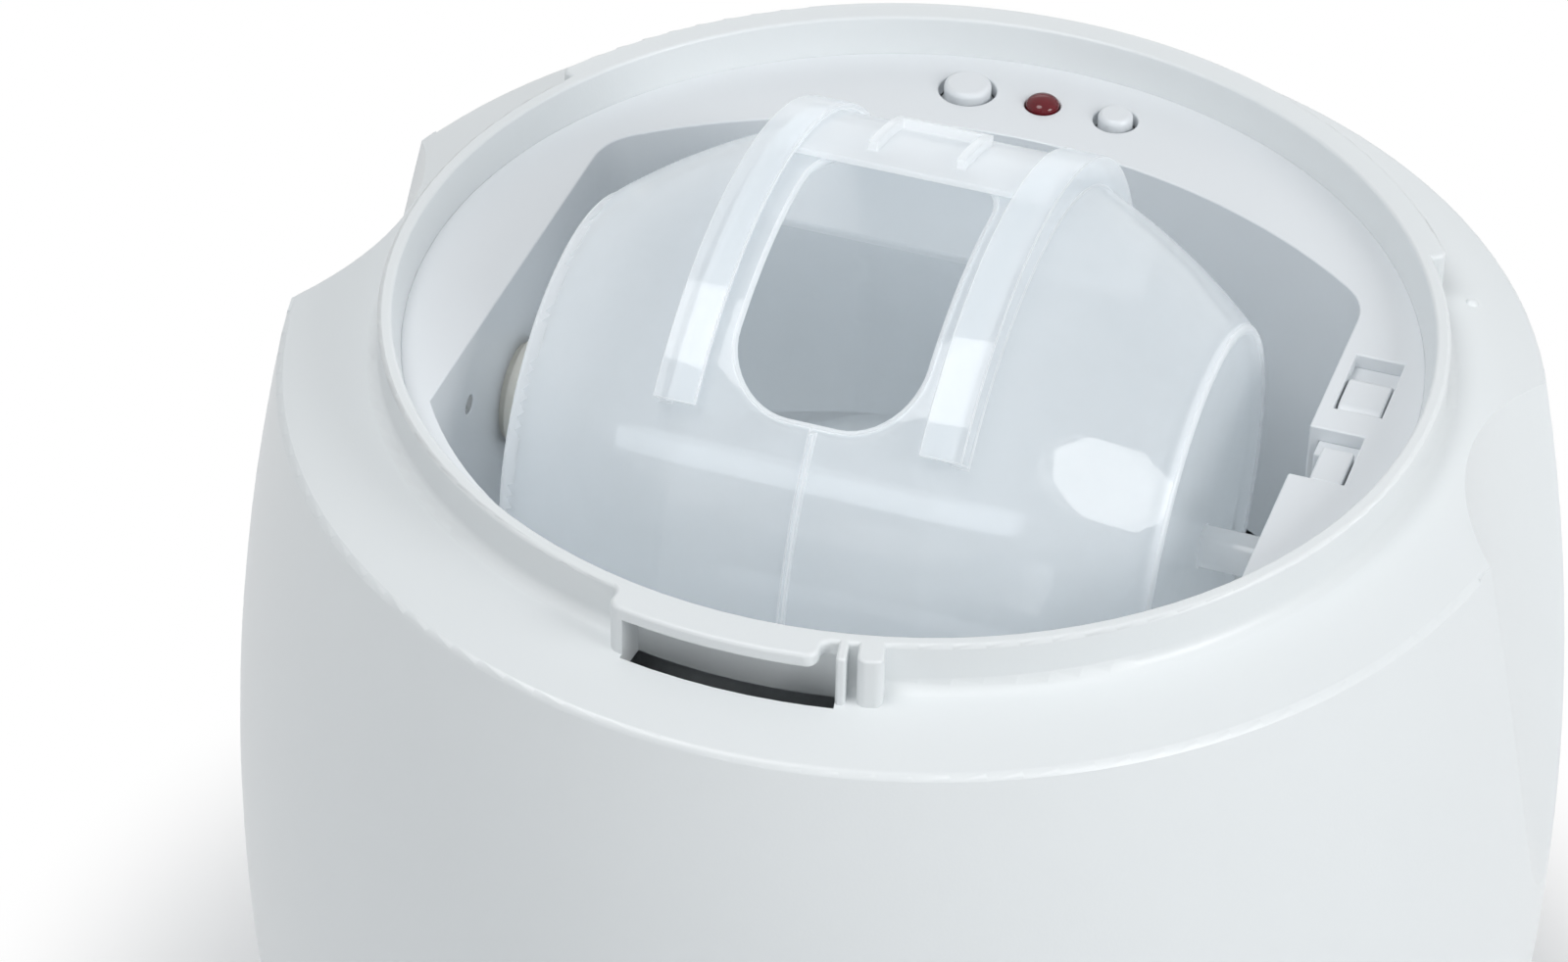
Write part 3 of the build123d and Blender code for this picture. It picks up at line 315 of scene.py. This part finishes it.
# edge rounds in mm of the pieces that take the CAD form
softEdges = {
    "well_tub": {"round": 0.3, "flush": (70.4, 70.98)},
    "drum_left_half": {"round": 0.25, "flat": 1.0, "edges": drumEdge, "ends": 45.0},
    "drum_right_half": {"round": 0.25, "flat": 1.0, "edges": drumEdge, "ends": 45.0},
    "drum_door": {"round": 0.25, "finish": drumEdge},
    "drum_hub": {"round": 0.4},
    "agitator_fins": {"round": 0.5, "flat": 1.0, "finish": drumEdge},
    "treat_bowl": {"round": 0.6, "flat": 0.02, "above": 20.4},
    "axle_spring_arm": {"round": 0.4},
    "lid_switch_plunger": {"round": 0.35, "backRound": 2.6},
    "status_lamp": {"round": 0.1, "squash": 0.58},
    "axle_bush": {"round": 0.2},
    "power_button": {"round": 0.5, "narrow": 0.88},
    "pairing_button": {"round": 0.5, "narrow": 0.86},
    "battery_door": {"round": 0.18},
    "base_plate": {"round": 0.2},
}
deckTop = 166.3 * mm

# what counts as a flat joint, a corner and a hard shade, in degrees; a round strays by a share of its radius
roundRules = {"flat": 0.5, "corner": 48.0, "shade": 50.0, "stray": 0.6, "steps": 2, "merge": 2e-6}

# in mm: how near an edge lies to the top and the back, and how deep the deck's rim is
trimRules = {"near": 0.05, "rimDepth": 3.0, "backSteps": 8}


# small trims of a copy: slimmer in plan, lower above the deck, rounder behind, out to meet the collar
def trim(bm, setting):
    if "narrow" in setting:
        middle = sum((v.co for v in bm.verts), Vector()) / len(bm.verts)
        slim = (setting["narrow"], setting["narrow"], 1)
        bmesh.ops.scale(bm, vec=slim, space=Matrix.Translation(-middle), verts=bm.verts)
    if "squash" in setting:
        above = [v for v in bm.verts if v.co.z > deckTop]
        lower = Matrix.Translation((0, 0, -deckTop))
        bmesh.ops.scale(bm, vec=(1, 1, setting["squash"]), space=lower, verts=above)
    if "backRound" in setting:
        back = max(v.co.y for v in bm.verts) - trimRules["near"] * mm
        top = max(v.co.z for v in bm.verts) - trimRules["near"] * mm
        levelFaces(bm, roundRules["flat"])
        crown = [e for e in bm.edges if all(v.co.y > back and v.co.z > top for v in e.verts)]
        roundEdges(bm, crown, setting["backRound"], trimRules["backSteps"], True)
    if "flush" in setting:
        near, rim = (value * mm for value in setting["flush"])
        for vert in bm.verts:
            reach = vert.co.xy.length
            if reach > near and vert.co.z > deckTop - trimRules["rimDepth"] * mm:
                vert.co.xy *= rim / reach


def mouldRounds(node, setting):
    source = nodes[node]
    slot = slotOf[node]
    looks = [setting.get("finish", finishes[slot])]
    bm = bmesh.new()
    bm.from_mesh(source.data)
    bmesh.ops.remove_doubles(bm, verts=bm.verts, dist=roundRules["merge"])
    trim(bm, setting)
    surface = BVHTree.FromBMesh(bm)
    levelFaces(bm, setting.get("flat", roundRules["flat"]))
    corner = math.radians(roundRules["corner"])
    sharp = [e for e in bm.edges if len(e.link_faces) == 2 and e.calc_face_angle() > corner]
    if "above" in setting:
        low = setting["above"] * mm
        sharp = [e for e in sharp if min(v.co.z for v in e.verts) > low]
    rounded = roundEdges(bm, sharp, setting["round"], roundRules["steps"], False)
    if "edges" in setting:
        looks.append(setting["edges"])
        milky = set(rounded["faces"])
        milky.update(f for f in bm.faces if abs(f.calc_center_median().x) > setting["ends"] * mm)
        for face in milky:
            face.material_index = 1
    for vert in bm.verts:
        nearest, _, _, away = surface.find_nearest(vert.co)
        if away > roundRules["stray"] * setting["round"] * mm:
            vert.co = nearest
    bmesh.ops.triangulate(bm, faces=[f for f in bm.faces if len(f.verts) > 4])
    smoothFaces(bm)
    piece = addPiece(node + "_moulded", bm, source["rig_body"], slot, *looks)
    piece.data.set_sharp_from_angle(angle=math.radians(roundRules["shade"]))
    weighted = piece.modifiers.new("faceWeights", "WEIGHTED_NORMAL")
    weighted.keep_sharp = True
    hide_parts(node)


for node, setting in softEdges.items():
    mouldRounds(node, setting)
print("mould rounds on", len(softEdges), "pieces")

drumMiddle = Vector((-1.2, -6.0, 146.0))  # mm

# bead round the drum's mouth, where the moulding is thick and gathers light; mm and degrees
mouthBead = {
    "wall": 46.9, "middle": 74.0, "span": 30.0, "halfWidth": 13.5, "corner": 10.0, "cornerSteps": 12,
    "bead": 0.45, "beadSides": 3, "step": 1.2,
}


# the mouth's outline unrolled: x along the drum, t round it
def mouthPath():
    s = mouthBead
    reach = s["wall"] * math.sin(math.radians(s["span"]))
    turn = s["corner"]
    places = []
    for quarter, (sideX, sideT) in enumerate(((1, 1), (-1, 1), (-1, -1), (1, -1))):
        for step in range(s["cornerSteps"] + 1):
            angle = math.radians(90 * quarter + 90 / s["cornerSteps"] * step)
            x = sideX * (s["halfWidth"] - turn) + turn * math.cos(angle)
            t = sideT * (reach - turn) + turn * math.sin(angle)
            places.append((x, t))
    fine = []
    for (x0, t0), (x1, t1) in zip(places, places[1:] + places[:1]):
        count = max(1, round(math.hypot(x1 - x0, t1 - t0) / s["step"]))
        fine += [(x0 + (x1 - x0) * k / count, t0 + (t1 - t0) * k / count) for k in range(count)]
    return fine


def buildMouthBead():
    s = mouthBead
    lean = math.radians(s["middle"])
    out = Vector((0, -math.cos(lean), math.sin(lean)))
    along = Vector((0, math.sin(lean), math.cos(lean)))
    curve = bpy.data.curves.new("mouth_bead", "CURVE")
    curve.dimensions = "3D"
    curve.bevel_depth = s["bead"] * mm
    curve.bevel_resolution = s["beadSides"]
    places = mouthPath()
    route = curve.splines.new("POLY")
    route.points.add(len(places) - 1)
    for point, (x, t) in zip(route.points, places):
        rise = math.sqrt(s["wall"] ** 2 - t**2)
        place = (drumMiddle + Vector((x, 0, 0)) + along * t + out * rise) * mm
        point.co = (*place, 1)
    route.use_cyclic_u = True
    shape = bpy.data.objects.new("mouth_bead_path", curve)
    bm = bmesh.new()
    bm.from_mesh(shape.to_mesh())
    bpy.data.objects.remove(shape)
    smoothFaces(bm)
    addPiece("mouth_bead", bm, nodes["drum_right_half"]["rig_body"], "drum_frosted", drumEdge)


buildMouthBead()
print("mouth bead laid")

# shelves that close the deck's openings behind the plunger and behind the spring arm;
# low and high corner in mm
shelfRound = 0.2
shelves = {
    "plunger_window_shelf": {"low": (58.8, 14.6, 162.6), "high": (66.0, 17.7, 164.05)},
    "arm_notch_shelf": {"low": (58.5, -3.6, 162.6), "high": (64.9, -0.3, 164.05)},
}


def buildShelf(name, corners):
    low, high = (Vector(corners[key]) * mm for key in ("low", "high"))
    box = Matrix.Translation((low + high) / 2) @ Matrix.Diagonal((*(high - low), 1))
    bm = bmesh.new()
    bmesh.ops.create_cube(bm, size=1.0, matrix=box)
    roundEdges(bm, bm.edges[:], shelfRound, roundRules["steps"], True)
    addPiece(name, bm, nodes["well_tub"]["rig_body"], "deck_white", finishes["deck_white"])


for name, corners in shelves.items():
    buildShelf(name, corners)
print("deck openings closed behind plunger and arm")

# apron that closes the outlet under the chute's lip; mm and degrees
outletApron = {"inner": 86.2, "outer": 87.6, "low": 20.4, "high": 24.4, "halfTurn": 17.0, "steps": 24}


def buildApron():
    s = outletApron
    start = math.radians(-90 - s["halfTurn"])
    out = Vector((math.cos(start), math.sin(start), 0))
    bm = bmesh.new()
    section = (("inner", "low"), ("outer", "low"), ("outer", "high"), ("inner", "high"))
    corners = [bm.verts.new((out * s[reach] + Vector((0, 0, s[rise]))) * mm) for reach, rise in section]
    cap = bm.faces.new(corners)
    bmesh.ops.spin(bm, geom=[*corners, *cap.edges, cap], cent=(0, 0, 0), axis=(0, 0, 1),
                   angle=math.radians(2 * s["halfTurn"]), steps=s["steps"])
    bmesh.ops.recalc_face_normals(bm, faces=bm.faces)
    addPiece("outlet_apron", bm, nodes["treat_chute"]["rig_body"], "chute_white", finishes["chute_white"])


buildApron()
print("outlet closed under the chute")

# beads round the drum's two ends, in mm
endBead = {"half": 45.5, "ring": 30.5, "bead": 0.8, "sides": 12, "steps": 96}


def buildEndBead(name, side):
    s = endBead
    middle = (drumMiddle + Vector((side * s["half"], 0, 0))) * mm
    bm = bmesh.new()
    start = Matrix.Translation(middle + Vector((0, s["ring"] * mm, 0)))
    bmesh.ops.create_circle(bm, segments=s["sides"], radius=s["bead"] * mm, matrix=start)
    bmesh.ops.spin(bm, geom=bm.verts[:] + bm.edges[:], cent=middle, axis=(1, 0, 0),
                   angle=2 * math.pi, steps=s["steps"], use_merge=True)
    bmesh.ops.recalc_face_normals(bm, faces=bm.faces)
    smoothFaces(bm)
    addPiece(name, bm, nodes["drum_right_half"]["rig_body"], "drum_frosted", drumEdge)


buildEndBead("drum_end_bead_left", -1)
buildEndBead("drum_end_bead_right", 1)
print("drum ends beaded")

# stage and sky: the shadow fades out between the two reaches, in metres
white = (1, 1, 1, 1)
stageSettings = {
    "floor": 6.0, "shadow": (0.1, 0.16), "colour": (0.86, 0.865, 0.87, 1), "rough": 0.9,
    "sky": (0.93, 0.965, 1.0, 1), "skyStrength": 0.36,
}


def whiteStage():
    finish = Finish("stage_white")
    finish.set(Base_Color=stageSettings["colour"], Roughness=stageSettings["rough"])
    far = finish.node("ShaderNodeVectorMath", {"operation": "LENGTH"}, {0: finish.place})
    near, wide = stageSettings["shadow"]
    fade = finish.node("ShaderNodeMapRange", {"interpolation_type": "SMOOTHSTEP"},
                       {0: finish.wire(far, "Value"), 1: near, 2: wide})
    glow = finish.node("ShaderNodeEmission", None, {"Color": white, "Strength": 1.0})
    finish.show(finish.layer(finish.seenRays() * finish.wire(fade), finish.shader, glow))
    return finish


def buildFloor():
    mesh = bpy.data.meshes.new("floor")
    bm = bmesh.new()
    bmesh.ops.create_grid(bm, x_segments=2, y_segments=2, size=stageSettings["floor"])
    bm.to_mesh(mesh)
    bm.free()
    floor = bpy.data.objects.new("floor", mesh)
    scene.collection.objects.link(floor)
    mesh.materials.append(whiteStage().material)


def buildWorld():
    scene.world = bpy.data.worlds.new("studio")
    graph = Graph(scene.world)
    dim = graph.node("ShaderNodeBackground", None,
                     {"Color": stageSettings["sky"], "Strength": stageSettings["skyStrength"]})
    bright = graph.node("ShaderNodeBackground", None, {"Color": white, "Strength": 1.0})
    sky = graph.layer(graph.seenRays(), dim, bright)
    graph.node("ShaderNodeOutputWorld", None, {"Surface": graph.wire(sky)})


# places and sizes in metres; the two boxes have eight sides, as their reflections show
lampSettings = [
    {"name": "topBox", "at": (-0.25, -0.37, 1.30), "size": 0.6, "power": 7.0, "octagon": True},
    {"name": "rightBox", "at": (0.85, -0.25, 0.63), "size": 0.46, "power": 5.1, "octagon": True},
    {"name": "frontFill", "at": (0.1, -1.2, 0.3), "size": 0.9, "power": 0.9, "octagon": False},
    {"name": "backFill", "at": (-0.4, 1.2, 0.5), "size": 0.9, "power": 1.3, "octagon": False},
]
lampAim = Vector((0, 0, 0.13))
evenCut = math.sqrt(0.5)  # cuts a square of side one to eight equal sides


def cutOctagon(data):
    graph = Graph(data)
    spot = graph.wire(graph.node("ShaderNodeNewGeometry"), "Parametric")
    axes = graph.node("ShaderNodeSeparateXYZ", None, {0: spot})
    edge = abs(graph.wire(axes, "X") - 0.5) + abs(graph.wire(axes, "Y") - 0.5)
    inside = edge.maths("LESS_THAN", edge, evenCut)
    glow = graph.node("ShaderNodeEmission", None, {"Color": inside, "Strength": 1.0})
    graph.node("ShaderNodeOutputLight", None, {"Surface": graph.wire(glow)})


def buildLamps():
    for setting in lampSettings:
        data = bpy.data.lights.new(setting["name"], "AREA")
        data.shape = "SQUARE" if setting["octagon"] else "DISK"
        data.size = setting["size"]
        data.energy = setting["power"]
        if setting["octagon"]:
            cutOctagon(data)
        lamp = bpy.data.objects.new(setting["name"], data)
        lamp.location = setting["at"]
        lamp.rotation_mode = "QUATERNION"
        lamp.rotation_quaternion = (lampAim - lamp.location).to_track_quat("-Z", "Y")
        scene.collection.objects.link(lamp)


# degrees, metres and pixels of the photo's frame; the target is the pixel where the collar's middle lies
cameraSettings = {
    "azimuth": 18.725, "elevation": 38.114, "roll": 1.069, "distance": 0.73009,
    "focal": 5395.0, "width": 1600, "height": 982, "target": (932.6, 308.93), "rim": 0.172,
    "sensor": 36.0, "near": 0.01,
}


def buildCamera():
    c = cameraSettings
    az, el, roll = (math.radians(c[k]) for k in ("azimuth", "elevation", "roll"))
    back = Vector((math.sin(az) * math.cos(el), -math.cos(az) * math.cos(el), math.sin(el)))
    level = Vector((math.cos(az), math.sin(az), 0))
    rise = back.cross(level)
    right = math.cos(roll) * level + math.sin(roll) * rise
    up = math.cos(roll) * rise - math.sin(roll) * level
    u = (c["target"][0] - c["width"] / 2) / c["focal"]
    v = -(c["target"][1] - c["height"] / 2) / c["focal"]
    data = bpy.data.cameras.new("photoCamera")
    data.sensor_width = c["sensor"]
    data.lens = c["sensor"] * c["focal"] / c["width"]
    data.clip_start = c["near"]
    camera = bpy.data.objects.new("photoCamera", data)
    place = c["distance"] * (back - u * right - v * up) + Vector((0, 0, c["rim"]))
    camera.matrix_world = Matrix.Translation(place) @ Matrix((right, up, back)).transposed().to_4x4()
    scene.collection.objects.link(camera)
    scene.camera = camera


buildFloor()
buildWorld()
buildLamps()
buildCamera()
scene.view_settings.view_transform = "Standard"
print("stage, lamps and camera set")
